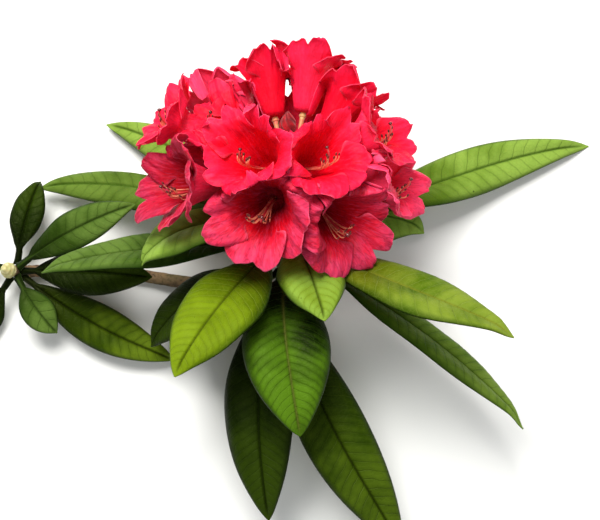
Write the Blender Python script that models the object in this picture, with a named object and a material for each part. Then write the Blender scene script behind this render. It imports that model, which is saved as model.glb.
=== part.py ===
"""Flowering shoot of a rhododendron, cut and laid down.

A dome of bell flowers stands over a ring of leathery leaves at the end of a woody stem, and a
leafy side shoot leaves the stem on its left. The stem's cut end, the side shoot and the leaves
under the flowers rest on the surface z = 0. Lengths are millimetres until a mesh is made.
"""

from collections import namedtuple
from math import cos, exp, pi, radians, sin

import bmesh
import bpy
from mathutils import Vector

MM = 0.001
GAP = 0.3
UP = Vector((0.0, 0.0, 1.0))
SHARP_EDGE = radians(40.0)
LEAST_SLANT = 0.2

# Place and lean of the flowering shoot
WHORL_HEIGHT = 40.0
WHORL_PLACE = (9.9, 29.1)
LEAN = radians(45.0)

# Woody parts
STEM_RADIUS = 5.7
STEM_END_RADIUS = 6.0
STEM_TOP = 12.0
STEM_STRAIGHT = 15.0
STEM_ON_FLOOR = 12.0
STEM_BENDS = 7
STEM_SIDES = 10
TWIG_RADIUS = 3.4
TWIG_TIP_RADIUS = 3.0
TWIG_SIDES = 8
TWIG_PIECES = 4

# Truss of flowers
TRUSS_HEIGHT = 32.0
TRUSS_AXIS_RADIUS = 4.5
TRUSS_AXIS_TOP = 41.0
PEDICEL_RADIUS = 1.1
TUBE_BASE_RADIUS = 5.0
THROAT_RADIUS = 12.0
THROAT_DEPTH = 13.0
TUBE_DEPTH = 31.0
CALYX_LENGTH = 2.0
DISH = ((0.5, 6.0), (0.18, 10.0))
LOBE_SPLIT = 5.0
LOBE_OUTLINE = (0.97, 1.0, 0.82, 1.0)
LOBES = 5
LEAST_CELL_SHARE = 0.02
FLOWER_FLOOR = 5.6
FLOWER_FLOOR_SOFT = 12.0

# Leaves
PETIOLE = 15.0
PETIOLE_HALF_WIDTH = 1.7
PETIOLE_THICKNESS = 2.6
BLADE_THICKNESS = 1.2
BLADE_ONSET = 0.12
TIP_HALF_WIDTH = 0.7
TIP_SHARE = 0.1
TIP_THINNING = 0.35
OUTLINE_FULLNESS = 0.85
ARCH = 0.22
MARGIN_DROP = 0.16
ROLL_ONSET = 0.2
DROOP_POWER = 1.5
LEAF_STATIONS = (0.0, 0.1, 0.2, 0.32, 0.45, 0.58, 0.72, 0.86, 1.0)
UPPER_SIDES = 4
WALK_STEPS = 48

# How a leaf comes down on the surface: the height over which it lands, its steepest fall and
# climb there, the height below which its face turns up, and how fast it turns
LANDING = 30.0
STEEPEST_FALL = 0.9
STEEPEST_CLIMB = 0.3
LYING_HEIGHT = 20.0
LYING_TURN = 0.2
LYING_GAP = 0.2

Finish = namedtuple("Finish", "colour roughness")
BARK = Finish((0.16, 0.10, 0.06), 0.8)
TRUSS_GREEN = Finish((0.35, 0.36, 0.14), 0.6)
LEAF_GREEN = Finish((0.10, 0.22, 0.03), 0.45)
SIDE_GREEN = Finish((0.05, 0.14, 0.04), 0.45)
PETAL_RED = Finish((0.72, 0.02, 0.07), 0.5)
BUD_RED = Finish((0.35, 0.01, 0.03), 0.5)
BUD_PALE = Finish((0.50, 0.45, 0.25), 0.5)

Ring = namedtuple("Ring", "middle axis front side radius")
Leaf = namedtuple("Leaf", "name around height length width rise droop swing roll")
Flower = namedtuple("Flower", "name tilt around reach width")

# Leaves round the flowering shoot: degrees round the stem from the front, height on the stem,
# length and width, then degrees of rise, droop, sideways swing and roll
LEAVES = (
    Leaf("leaf_01", -139, 5.5, 118, 28, 16, 26, 17, 0),
    Leaf("leaf_02", -119, 2.5, 134, 28, 11, 26, 20, 0),
    Leaf("leaf_03", -76, 0.0, 119, 31, 10, 28, -10, 0),
    Leaf("leaf_04", -66, 8.6, 81, 35, 34, 90, -8, 0),
    Leaf("leaf_05", -28, 4.0, 101, 44, 8, 48, -8, 0),
    Leaf("leaf_06", -7, -3.5, 104, 46, -2, 56, 24, 0),
    Leaf("leaf_07", 13, 10.5, 68, 36, 11, 38, 2, 0),
    Leaf("leaf_08", -24, -10.0, 131, 39, -32, 34, 42, 0),
    Leaf("leaf_09", 0, -15.8, 156, 37, -29, 35, 72, 0),
    Leaf("leaf_10", 41, 3.4, 128, 36, 10, 24, 25, 0),
    Leaf("leaf_11", 65, -7.0, 142, 29, -16, 22, -6, 10),
    Leaf("leaf_12", 114, 4.0, 168, 31, 8, 39, 21, 0),
    Leaf("leaf_13", 127, 0.3, 78, 32, 3, 60, 0, 0),
    Leaf("leaf_14", -72, -8.0, 82, 34, -10, 50, 0, 0),
    Leaf("leaf_15", -54, -14.0, 68, 34, -14, 40, 4, 0),
    Leaf("leaf_16", 164, -8.0, 79, 32, 10, 12, 0, 0),
    Leaf("leaf_17", -150, -4.0, 98, 38, 10, 10, 0, 0),
    Leaf("leaf_18", -169, -13.0, 100, 36, 0, 20, 0, 0),
)

# Side shoot: where its twig ends, measured from the flowering shoot, its leaves, placed by
# degrees from the right, and the twig's way there from one of the stem's bends
SIDE_PLACE = (-141.0, -11.0, 18.0)
SIDE_AXIS = (-0.30, -0.10, 0.95)
SIDE_LEAVES = (
    Leaf("side_leaf_1", -55, 0.0, 38, 19, 10, 50, 0, 0),
    Leaf("side_leaf_2", 0, -2.0, 70, 26, 0, 20, -6, 0),
    Leaf("side_leaf_3", -38, -5.0, 91, 25, -8, 20, 16, 0),
    Leaf("side_leaf_4", 32, 0.5, 72, 22, 10, 30, -12, 0),
    Leaf("side_leaf_5", 78, -3.0, 47, 19, 6, 40, 0, 0),
    Leaf("side_leaf_6", 165, -3.0, 40, 18, 0, 60, 0, 0),
    Leaf("side_leaf_7", -125, -2.0, 42, 18, 0, 60, 0, 0),
)
TWIG_START = 3
TWIG_ROUTE = ((-25.0, -21.0, 9.0), (-60.0, -14.0, 4.2), (-100.0, -8.0, 3.8), (-130.0, -9.0, 3.8))
TWIG_UPRIGHT = 8.0
SIDE_BUD_RADIUS = 4.5
SIDE_BUD_LENGTH = 11.0

# Flowers: degrees from the shoot's axis and round it from the front, distance of the mouth
# from the middle of the truss, and width of the open flower
FLOWERS = (
    Flower("flower_01", 38, -42, 50, 52),
    Flower("flower_02", 37, 38, 50, 50),
    Flower("flower_03", 70, -18, 52, 57),
    Flower("flower_04", 84, 36, 52, 50),
    Flower("flower_05", 72, -66, 68, 48),
    Flower("flower_06", 56, -96, 74, 40),
    Flower("flower_07", 61, -145, 68, 50),
    Flower("flower_08", 45, 164, 70, 44),
    Flower("flower_09", 52, 136, 63, 46),
    Flower("flower_10", 52, 86, 62, 44),
    Flower("flower_11", 75, 73, 63, 44),
    Flower("flower_12", 38, -92, 58, 44),
    Flower("flower_13", 47, -166, 68, 40),
    Flower("flower_14", 82, -120, 52, 40),
    Flower("flower_15", 86, -160, 55, 44),
    Flower("flower_16", 82, 168, 55, 46),
    Flower("flower_17", 84, 116, 55, 44),
)
BUD_REACH = 44.0
BUD_LENGTH = 13.0
BUD_RADIUS = 4.4
BUD_NECK = 0.5
BUD_PROFILE = ((0.0, 0.55), (0.25, 0.9), (0.5, 1.0), (0.78, 0.7), (1.0, 0.12))

AXIS = Vector((0.0, cos(LEAN), sin(LEAN)))
FRONT = Vector((0.0, -sin(LEAN), cos(LEAN)))
RIGHT = Vector((1.0, 0.0, 0.0))
WHORL = Vector((*WHORL_PLACE, WHORL_HEIGHT))
TRUSS = WHORL + AXIS * TRUSS_HEIGHT


def make_material(name, finish):
    """A plain Principled material."""
    material = bpy.data.materials.new(name)
    material.use_nodes = True
    shader = material.node_tree.nodes["Principled BSDF"]
    shader.inputs["Base Color"].default_value = (*finish.colour, 1.0)
    shader.inputs["Roughness"].default_value = finish.roughness
    shader.inputs["Metallic"].default_value = 0.0
    return material


def make_solid(name, sections, finish, upper_sides=0):
    """Skin a row of closed sections, cap both ends and place the object at its first section.

    A thin blade says how many sides its upper face has. Its under face is then split along the same
    diagonals, so that the two stay apart where the blade twists.
    """
    place = sum(sections[0], Vector()) / len(sections[0])
    work = bmesh.new()
    rows = [[work.verts.new((point - place) * MM) for point in section] for section in sections]
    sides = len(rows[0])
    for low, high in zip(rows, rows[1:]):
        for k in range(sides):
            after = (k + 1) % sides
            if not upper_sides:
                work.faces.new((low[k], low[after], high[after], high[k]))
            elif k < upper_sides:
                work.faces.new((low[k], low[after], high[after]))
                work.faces.new((low[k], high[after], high[k]))
            else:
                work.faces.new((low[k], low[after], high[k]))
                work.faces.new((low[after], high[after], high[k]))
    work.faces.new(rows[0])
    work.faces.new(rows[-1])
    bmesh.ops.recalc_face_normals(work, faces=work.faces)
    mesh = bpy.data.meshes.new(name)
    work.to_mesh(mesh)
    work.free()
    mesh.shade_smooth()
    mesh.set_sharp_from_angle(angle=SHARP_EDGE)
    mesh.materials.append(make_material(name, finish))
    solid = bpy.data.objects.new(name, mesh)
    solid.location = place * MM
    bpy.context.scene.collection.objects.link(solid)
    return solid


def circle(middle, first, second, radius, sides):
    """Points of a round section."""
    turns = [2.0 * pi * k / sides for k in range(sides)]
    return [middle + (first * cos(turn) + second * sin(turn)) * radius for turn in turns]


def tube_sections(route, radii, sides, start=None):
    """Round sections along a route, each square to it; start is the direction of the first."""
    sections = []
    for k, point in enumerate(route):
        before = route[max(k - 1, 0)]
        after = route[min(k + 1, len(route) - 1)]
        forward = (after - before).normalized()
        if k == 0 and start is not None:
            forward = start
        across = forward.cross(UP)
        if across.length < LEAST_SLANT:
            across = forward.cross(AXIS)
        across.normalize()
        sections.append(circle(point, across, across.cross(forward), radii[k], sides))
    return sections


def smooth_route(points, pieces):
    """Points of a Catmull-Rom curve through the given ones."""
    ends = [points[0] * 2 - points[1]] + list(points) + [points[-1] * 2 - points[-2]]
    route = []
    for k in range(1, len(ends) - 2):
        a, b, c, d = ends[k - 1:k + 3]
        for piece in range(pieces):
            t = piece / pieces
            bend = (b - c) * 3 + d - a
            route.append((b * 2 + (c - a) * t + (a * 2 - b * 5 + c * 4 - d) * t**2 + bend * t**3) / 2)
    return route + [points[-1]]


def stem_route():
    """The stem's middle line from its cut end on the surface to its top under the truss."""
    turn_start = WHORL - AXIS * STEM_STRAIGHT
    drop = turn_start.z - STEM_END_RADIUS
    bend_radius = drop / (1.0 - cos(LEAN))
    turn_end_y = turn_start.y - bend_radius * sin(LEAN)
    route = [Vector((WHORL.x, turn_end_y - STEM_ON_FLOOR, STEM_END_RADIUS))]
    for k in range(STEM_BENDS + 1):
        turn = LEAN * k / STEM_BENDS
        y = turn_end_y + bend_radius * sin(turn)
        z = STEM_END_RADIUS + bend_radius * (1.0 - cos(turn))
        route.append(Vector((WHORL.x, y, z)))
    route.append(WHORL + AXIS * STEM_TOP)
    return route


def blade_half_width(leaf, share):
    """Half of a leaf's width at a share of its whole length, petiole included."""
    petiole = PETIOLE / leaf.length
    if share <= petiole:
        return PETIOLE_HALF_WIDTH
    along = (share - petiole) / (1.0 - petiole)
    outline = max(sin(pi * along), 0.0) ** OUTLINE_FULLNESS
    least = PETIOLE_HALF_WIDTH + (TIP_HALF_WIDTH - PETIOLE_HALF_WIDTH) * along
    return max(0.5 * leaf.width * outline, least)


def blade_share(leaf, share):
    """0 on the petiole, rising to 1 where the blade is full."""
    petiole = PETIOLE / leaf.length
    return min(max((share - petiole) / BLADE_ONSET, 0.0), 1.0)


def tip_share(share):
    """0 on the blade, rising to 1 at a leaf's tip."""
    return max(share - 1.0 + TIP_SHARE, 0.0) / TIP_SHARE


def leaf_thickness(leaf, share):
    """Thickness of the petiole or the blade."""
    blade = blade_share(leaf, share)
    thickness = PETIOLE_THICKNESS + (BLADE_THICKNESS - PETIOLE_THICKNESS) * blade
    return thickness * (1.0 - TIP_THINNING * tip_share(share))


def floor_clearance(leaf, share, side):
    """Height that a midrib needs over the surface so that the leaf just lies on it."""
    half_width = blade_half_width(leaf, share)
    return half_width * (abs(side.z) + MARGIN_DROP) + leaf_thickness(leaf, share) + LYING_GAP


def outward_of(leaf, ring, share):
    """Direction away from the stem at a share of a leaf's length, swing included."""
    around = radians(leaf.around + leaf.swing * share)
    return ring.front * cos(around) + ring.side * sin(around)


def walk_midrib(leaf, ring):
    """Places along a midrib, each with its forward and upper directions."""
    outward = outward_of(leaf, ring, 0.0)
    point = ring.middle + ring.axis * leaf.height + outward * (ring.radius + GAP)
    upper = ring.axis.copy()
    places = [(point, outward, upper)]
    for count in range(WALK_STEPS):
        share = (count + 1.0) / WALK_STEPS
        slope = radians(leaf.rise - leaf.droop * share**DROOP_POWER)
        forward = outward_of(leaf, ring, share) * cos(slope) + ring.axis * sin(slope)
        room = point.z - floor_clearance(leaf, share, forward.cross(upper))
        if forward.z < -room / LANDING:
            level = Vector((forward.x, forward.y, 0.0)).normalized()
            fall = min(max(-room / LANDING, -STEEPEST_FALL), STEEPEST_CLIMB)
            forward = level * (1.0 - fall * fall) ** 0.5 + UP * fall
        point = point + forward * (leaf.length / WALK_STEPS)
        upper = upper - forward * upper.dot(forward)
        lying = min(max(1.0 - room / LYING_HEIGHT, 0.0), 1.0)
        level_upper = UP - forward * forward.z
        upper = upper.lerp(level_upper, LYING_TURN * lying).normalized()
        places.append((point, forward, upper))
    return places


def place_at(places, share):
    """Place, forward and upper directions at a share of a walked line."""
    step = min(share, 1.0) * (len(places) - 1)
    low = min(int(step), len(places) - 2)
    part = step - low
    point, forward, upper = (a.lerp(b, part) for a, b in zip(places[low], places[low + 1]))
    return point, forward.normalized(), upper.normalized()


def leaf_section(leaf, share, place):
    """Eight points round a leaf: five over its upper side, arched on the blade, and three below."""
    point, forward, upper = place
    side = forward.cross(upper).normalized()
    roll = radians(leaf.roll) * min(share / ROLL_ONSET, 1.0)
    side, upper = side * cos(roll) + upper * sin(roll), upper * cos(roll) - side * sin(roll)
    half_width = blade_half_width(leaf, share)
    thickness = leaf_thickness(leaf, share)
    arched = min(blade_share(leaf, share), 1.0 - tip_share(share))

    def over(across):
        arch = half_width * (ARCH * abs(across) - (ARCH + MARGIN_DROP) * across * across)
        return arch * arched - 0.5 * thickness * across * across * (1.0 - arched)

    top = [(q, over(q)) for q in (-1.0, -0.5, 0.0, 0.5, 1.0)]
    below = [(q, over(q) - thickness) for q in (0.5, 0.0, -0.5)]
    return [point + side * (q * half_width) + upper * rise for q, rise in top + below]


def make_leaf(leaf, ring, finish):
    """One leaf with its petiole, as a thin arched blade of its outline."""
    places = walk_midrib(leaf, ring)
    sections = [leaf_section(leaf, share, place_at(places, share)) for share in LEAF_STATIONS]
    make_solid(leaf.name, sections, finish, UPPER_SIDES)


def flower_direction(flower):
    """Where a flower faces from the middle of the truss."""
    tilt = radians(flower.tilt)
    around = radians(flower.around)
    return AXIS * cos(tilt) + (FRONT * cos(around) + RIGHT * sin(around)) * sin(tilt)


def cell_walls(flower):
    """Normals of the planes through the truss's middle that part a flower from the others."""
    own = flower_direction(flower)
    own_spread = cos(0.5 * flower.width / flower.reach)
    bud_spread = cos(BUD_RADIUS / BUD_REACH)
    walls = [(own * bud_spread - AXIS * own_spread).normalized()]
    for other in FLOWERS:
        if other.name != flower.name:
            spread = cos(0.5 * other.width / other.reach)
            walls.append((own * spread - flower_direction(other) * own_spread).normalized())
    return walls


def room_in_cell(walls, along, aside):
    """Largest share of aside that keeps along + aside on this flower's side of every wall."""
    share = 1.0
    for wall in walls:
        toward = -aside.dot(wall)
        if toward > 0.0:
            share = min(share, (along.dot(wall) - 0.5 * GAP) / toward)
    return max(share, LEAST_CELL_SHARE)


def above_floor(point):
    """Lift what would come too near the surface, softly."""
    if point.z >= FLOWER_FLOOR_SOFT:
        return point
    depth = FLOWER_FLOOR_SOFT - FLOWER_FLOOR
    lifted = FLOWER_FLOOR + depth * exp((point.z - FLOWER_FLOOR_SOFT) / depth)
    return Vector((point.x, point.y, lifted))


def bell_rings(flower):
    """Distance from the truss's middle, radius and share of the lobes' outline, ring by ring."""
    tilt = radians(flower.tilt)
    start = (TRUSS_AXIS_RADIUS + GAP + PEDICEL_RADIUS * cos(tilt)) / sin(tilt)
    tube = flower.reach - TUBE_DEPTH
    return (
        (start, PEDICEL_RADIUS, 0.0),
        (tube - CALYX_LENGTH, PEDICEL_RADIUS, 0.0),
        (tube, TUBE_BASE_RADIUS, 0.0),
        (flower.reach - THROAT_DEPTH, THROAT_RADIUS, 0.2),
        (flower.reach, 0.5 * flower.width, 1.0),
    )


def make_flower(flower):
    """One bell with its pedicel, five lobes and a dished mouth, kept in its own cell."""
    forward = flower_direction(flower)
    upper = (AXIS - forward * AXIS.dot(forward)).normalized()
    side = forward.cross(upper)
    walls = cell_walls(flower)
    samples = LOBES * len(LOBE_OUTLINE)
    sections = []
    for distance, radius, lobed in bell_rings(flower):
        ring = []
        for k in range(samples):
            turn = 2.0 * pi * k / samples
            outline = LOBE_OUTLINE[k % len(LOBE_OUTLINE)]
            split = LOBE_SPLIT * lobed * (1.0 - outline) / (1.0 - min(LOBE_OUTLINE))
            along = forward * (distance - split)
            aside = upper * cos(turn) + side * sin(turn)
            aside *= radius * (1.0 + (outline - 1.0) * lobed)
            ring.append((along, aside * room_in_cell(walls, along, aside)))
        sections.append(ring)
    rim = sections[-1]
    for share, depth in DISH:
        sections.append([(along - forward * depth, aside * share) for along, aside in rim])
    points = [[above_floor(TRUSS + along + aside) for along, aside in ring] for ring in sections]
    make_solid(flower.name, points, PETAL_RED)


def make_bud(name, base, axis, stalk, length, radius, finish):
    """A pointed bud, on a stalk of the given length or on none."""
    first = axis.orthogonal().normalized()
    second = axis.cross(first)
    rings = [(stalk + length * along, radius * wide) for along, wide in BUD_PROFILE]
    if stalk:
        rings = [(0.0, PEDICEL_RADIUS), (stalk - BUD_NECK, PEDICEL_RADIUS)] + rings
    sections = [circle(base + axis * far, first, second, wide, TWIG_SIDES) for far, wide in rings]
    make_solid(name, sections, finish)


def make_stem():
    """The stem with its flat cut end, and above it the axis that carries the flowers."""
    route = stem_route()
    radii = [STEM_END_RADIUS] * (len(route) - 2) + [STEM_RADIUS, STEM_RADIUS]
    sections = tube_sections(route, radii, STEM_SIDES, Vector((0.0, 1.0, 0.0)))
    make_solid("stem", sections, BARK)
    ends = (WHORL + AXIS * (STEM_TOP + GAP), WHORL + AXIS * TRUSS_AXIS_TOP)
    sections = tube_sections(ends, (TRUSS_AXIS_RADIUS, TRUSS_AXIS_RADIUS), STEM_SIDES)
    make_solid("truss_axis", sections, TRUSS_GREEN)


def make_side_twig():
    """The twig from the stem's left side along the surface, turning up at the side shoot."""
    start = stem_route()[TWIG_START] - RIGHT * (STEM_END_RADIUS + GAP)
    bends = [Vector((x + WHORL.x, y + WHORL.y, z)) for x, y, z in TWIG_ROUTE]
    shoot = side_ring()
    foot = shoot.middle - shoot.axis * TWIG_UPRIGHT
    route = smooth_route([start, *bends, foot], TWIG_PIECES) + [shoot.middle]
    thinning = (TWIG_TIP_RADIUS - TWIG_RADIUS) / (len(route) - 1)
    radii = [TWIG_RADIUS + thinning * k for k in range(len(route))]
    make_solid("side_twig", tube_sections(route, radii, TWIG_SIDES, -RIGHT), BARK)


def make_buds():
    """The unopened flower at the top of the truss and the leaf bud of the side shoot."""
    base = WHORL + AXIS * (TRUSS_AXIS_TOP + GAP)
    stalk = TRUSS_HEIGHT + BUD_REACH - BUD_LENGTH - TRUSS_AXIS_TOP - GAP
    make_bud("truss_bud", base, AXIS, stalk, BUD_LENGTH, BUD_RADIUS, BUD_RED)
    shoot = side_ring()
    base = shoot.middle + shoot.axis * GAP
    make_bud("side_bud", base, shoot.axis, 0.0, SIDE_BUD_LENGTH, SIDE_BUD_RADIUS, BUD_PALE)


def main_ring():
    """Where the leaves of the flowering shoot leave the stem."""
    return Ring(WHORL, AXIS, FRONT, RIGHT, STEM_RADIUS)


def side_ring():
    """Where the leaves of the side shoot leave its twig; degrees start at the right."""
    axis = Vector(SIDE_AXIS).normalized()
    right = (RIGHT - axis * axis.x).normalized()
    x, y, z = SIDE_PLACE
    middle = Vector((x + WHORL.x, y + WHORL.y, z))
    return Ring(middle, axis, right, axis.cross(right), TWIG_TIP_RADIUS)


def build():
    """Clear the scene and make every sub-part."""
    for item in list(bpy.data.objects):
        bpy.data.objects.remove(item, do_unlink=True)
    make_stem()
    make_side_twig()
    for leaf in LEAVES:
        make_leaf(leaf, main_ring(), LEAF_GREEN)
    for leaf in SIDE_LEAVES:
        make_leaf(leaf, side_ring(), SIDE_GREEN)
    for flower in FLOWERS:
        make_flower(flower)
    make_buds()


build()
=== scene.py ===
"""Looks of a flowering shoot of a rhododendron, cut and laid down.

Every leaf, flower, bud and woody part of the frame is replaced by a finely modelled piece in its
own place. Lengths are millimetres in the frame's axes until a mesh is made.
"""

from collections import namedtuple
from math import cos, pi, radians, sin

import bpy
import numpy as np
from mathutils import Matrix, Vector


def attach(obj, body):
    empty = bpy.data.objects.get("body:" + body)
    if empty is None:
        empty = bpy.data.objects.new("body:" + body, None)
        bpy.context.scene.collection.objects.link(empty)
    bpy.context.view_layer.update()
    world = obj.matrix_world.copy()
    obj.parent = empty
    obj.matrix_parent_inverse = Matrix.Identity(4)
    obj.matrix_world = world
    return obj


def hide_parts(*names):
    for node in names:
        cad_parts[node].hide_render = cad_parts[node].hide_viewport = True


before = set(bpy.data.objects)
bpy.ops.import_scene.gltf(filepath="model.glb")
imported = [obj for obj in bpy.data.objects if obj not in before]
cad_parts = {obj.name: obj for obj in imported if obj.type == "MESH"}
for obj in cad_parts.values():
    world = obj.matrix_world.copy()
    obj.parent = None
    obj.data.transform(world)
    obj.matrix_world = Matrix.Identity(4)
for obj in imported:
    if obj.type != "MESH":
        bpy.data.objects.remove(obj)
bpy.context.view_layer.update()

MM = 0.001
UP = np.array((0.0, 0.0, 1.0))
LEAF_SEED, SIDE_LEAF_SEED, STAMEN_SEED, COROLLA_SEED = 1, 101, 500, 900
SCAR_SEED, STEM_SEED, TWIG_SEED = 77, 78, 79

# Gap between a leaf or bud and what it grows on
GAP = 0.3

# Place and lean of the flowering shoot, and its woody parts
WHORL = np.array((9.9, 29.1, 40.0))
LEAN = radians(45.0)
AXIS = np.array((0.0, cos(LEAN), sin(LEAN)))
FRONT = np.array((0.0, -sin(LEAN), cos(LEAN)))
RIGHT = np.array((1.0, 0.0, 0.0))
STEM_RADIUS = 5.7
STEM_END_RADIUS = 6.0
STEM_TOP = 12.0
STEM_STRAIGHT = 15.0
STEM_ON_FLOOR = 12.0
STEM_BENDS = 7
TWIG_RADIUS = 3.4
TWIG_TIP_RADIUS = 3.0
TWIG_START = 3
TWIG_ROUTE = ((-25.0, -21.0, 9.0), (-60.0, -14.0, 4.2), (-100.0, -8.0, 3.8), (-130.0, -9.0, 3.8))
TWIG_UPRIGHT = 8.0
SIDE_PLACE = np.array((-141.0, -11.0, 18.0))
SIDE_AXIS = np.array((-0.30, -0.10, 0.95))
SIDE_BUD_RADIUS = 4.5
SIDE_BUD_LENGTH = 11.0

# Truss of flowers
TRUSS_HEIGHT = 32.0
TRUSS = WHORL + AXIS * TRUSS_HEIGHT
TRUSS_AXIS_RADIUS = 4.5
TRUSS_AXIS_TOP = 41.0
BUD_REACH = 44.0
BUD_LENGTH = 13.0
BUD_RADIUS = 4.4
LOBES = 5
FLOWER_FLOOR = 5.6
FLOWER_FLOOR_SOFT = 12.0

# Leaves
PETIOLE = 15.0
PETIOLE_HALF_WIDTH = 1.7
PETIOLE_THICKNESS = 2.6
TIP_HALF_WIDTH = 0.5
TIP_SHARE = 0.1
SIDE_PETIOLE = 7.0
BLADE_ONSET = 0.12
BLADE_THICKNESS = 0.6
CAD_BLADE_THICKNESS = 1.2
OUTLINE_FULLNESS = 0.85
TIP_BLUNTNESS = 0.04
MARGIN_DROP = 0.16
ROLL_ONSET = 0.2
DROOP_POWER = 1.5
WALK_STEPS = 48
LANDING = 30.0
STEEPEST_FALL = 0.9
STEEPEST_CLIMB = 0.3
LYING_HEIGHT = 20.0
LYING_TURN = 0.2
LYING_GAP = 0.2

Ring = namedtuple("Ring", "middle axis front side radius")

# Display colours of a leaf, its roughness, and the distance between its veins; the foot colour is painted
# shade near the truss on most looks and a real olive-brown tint on FRESH and GOLDEN, and the edge colour
# is painted shade on margins that roll away from the light
LeafLook = namedtuple("LeafLook", "base light foot edge under vein midrib roughness veins")
YOUNG = LeafLook(
    (76, 96, 2), (106, 128, 14), (30, 34, 2), (24, 52, 2), (120, 128, 60),
    (132, 150, 44), (48, 58, 4), 0.45, 4.2,
)
FRESH = YOUNG._replace(base=(96, 118, 8), light=(118, 146, 52), foot=(100, 98, 4))
GOLDEN = LeafLook(
    (66, 92, 4), (112, 130, 40), (84, 76, 4), (18, 44, 2), (126, 132, 66),
    (138, 154, 70), (110, 112, 32), 0.45, 6.5,
)
MATURE = LeafLook(
    (10, 26, 1), (72, 106, 16), (2, 4, 1), (10, 26, 1), (100, 112, 60),
    (62, 92, 20), (78, 80, 32), 0.40, 4.2,
)
# Dark green as painted shade, for leaves that lie under other leaves or under the truss
DEEP_SHADE = LeafLook(
    (15, 28, 1), (38, 54, 5), (6, 10, 1), (7, 16, 1), (84, 94, 48),
    (46, 64, 14), (12, 20, 2), 0.42, 4.6,
)
OLIVE = LeafLook(
    (34, 52, 2), (68, 88, 14), (12, 18, 1), (12, 26, 2), (96, 104, 56),
    (68, 86, 22), (14, 20, 2), 0.42, 5.2,
)
MOSSY = OLIVE._replace(base=(48, 68, 4), light=(94, 116, 22))
BLUISH = LeafLook(
    (46, 70, 14), (82, 106, 42), (14, 24, 3), (16, 38, 5), (110, 122, 74),
    (44, 64, 16), (46, 66, 20), 0.44, 5.8,
)
# A lighter copy of the bluish green: painted light on a leaf whose face tilts away from the lamp
CREASED_LIT = BLUISH._replace(base=(72, 102, 20), light=(112, 138, 50), foot=(26, 38, 4), vein=(50, 74, 22))
BROAD = LeafLook(
    (84, 112, 26), (124, 152, 60), (56, 76, 12), (20, 48, 4), (116, 128, 70),
    (70, 96, 30), (60, 88, 22), 0.46, 6.6,
)
SHADED = BROAD._replace(base=(54, 76, 14), light=(88, 112, 40))

# Display colours of a petal, and how strongly its veins show; the last colour is painted sheen streaked
# over the crinkles
PetalLook = namedtuple("PetalLook", "base rim throat vein back glow veins")
BRIGHT = PetalLook(
    (246, 2, 30), (244, 34, 78), (196, 0, 16), (160, 0, 20), (248, 34, 72), (255, 60, 104), 0.32,
)
# A pinker, lighter copy of the red: painted light for flowers whose lobes face the light
PINK_LIT = BRIGHT._replace(base=(250, 12, 50), rim=(254, 72, 116), back=(255, 60, 100))
SCARLET = BRIGHT._replace(base=(240, 2, 26), back=(228, 8, 40), glow=(244, 40, 76))
# A darker, pinker copy of the red: painted shade, with its cooler cast, for flowers that face down or lie
# low in the truss; the next look is darker still
ROSY_SHADED = PetalLook(
    (196, 2, 22), (214, 56, 96), (120, 0, 7), (112, 0, 18), (216, 30, 64), (228, 84, 126), 0.50,
)
WINE_SHADED = ROSY_SHADED._replace(base=(170, 2, 20), rim=(186, 34, 70))

Leaf = namedtuple("Leaf", "name around height length width rise droop swing roll look")
Flower = namedtuple("Flower", "name tilt around reach width look")

LEAVES = (
    Leaf("leaf_01", -139, 5.5, 118, 28, 16, 26, 17, 0, BROAD),
    Leaf("leaf_02", -119, 2.5, 134, 28, 11, 26, 20, 0, SHADED),
    Leaf("leaf_03", -76, 0.0, 119, 31, 10, 28, -10, 0, BLUISH),
    Leaf("leaf_04", -66, 8.6, 81, 35, 34, 90, -8, 0, BROAD),
    Leaf("leaf_05", -28, 4.0, 101, 44, 8, 48, -8, 0, YOUNG),
    Leaf("leaf_06", -7, -3.5, 104, 46, -2, 56, 24, 0, MATURE),
    Leaf("leaf_07", 13, 10.5, 68, 36, 11, 38, 2, 0, FRESH),
    Leaf("leaf_08", -24, -10.0, 131, 39, -32, 34, 42, 0, DEEP_SHADE),
    Leaf("leaf_09", 0, -15.8, 156, 37, -29, 35, 72, 0, OLIVE),
    Leaf("leaf_10", 41, 3.4, 128, 36, 10, 24, 25, 0, GOLDEN),
    Leaf("leaf_11", 65, -7.0, 142, 29, -16, 22, -6, 10, CREASED_LIT),
    Leaf("leaf_12", 114, 4.0, 168, 31, 8, 39, 21, 0, BROAD),
    Leaf("leaf_13", 127, 0.3, 78, 32, 3, 60, 0, 0, BROAD),
    Leaf("leaf_14", -72, -8.0, 82, 34, -10, 50, 0, 0, DEEP_SHADE),
    Leaf("leaf_15", -54, -14.0, 68, 34, -14, 40, 4, 0, DEEP_SHADE),
    Leaf("leaf_16", 164, -8.0, 79, 32, 10, 12, 0, 0, MATURE),
    Leaf("leaf_17", -150, -4.0, 98, 38, 10, 10, 0, 0, MATURE),
    Leaf("leaf_18", -169, -13.0, 100, 36, 0, 20, 0, 0, BLUISH),
)
SIDE_LEAVES = (
    Leaf("side_leaf_1", -55, 0.0, 38, 19, 10, 50, 0, 0, BLUISH),
    Leaf("side_leaf_2", 0, -2.0, 70, 26, 0, 20, -6, 0, DEEP_SHADE),
    Leaf("side_leaf_3", -38, -5.0, 91, 25, -8, 20, 16, 0, MOSSY),
    Leaf("side_leaf_4", 32, 0.5, 72, 22, 10, 30, -12, 0, BLUISH),
    Leaf("side_leaf_5", 78, -3.0, 47, 19, 6, 40, 0, 0, DEEP_SHADE),
    Leaf("side_leaf_6", 165, -3.0, 40, 18, 0, 60, 0, 0, BLUISH),
    Leaf("side_leaf_7", -125, -2.0, 42, 18, 0, 60, 0, 0, DEEP_SHADE),
)
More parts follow.
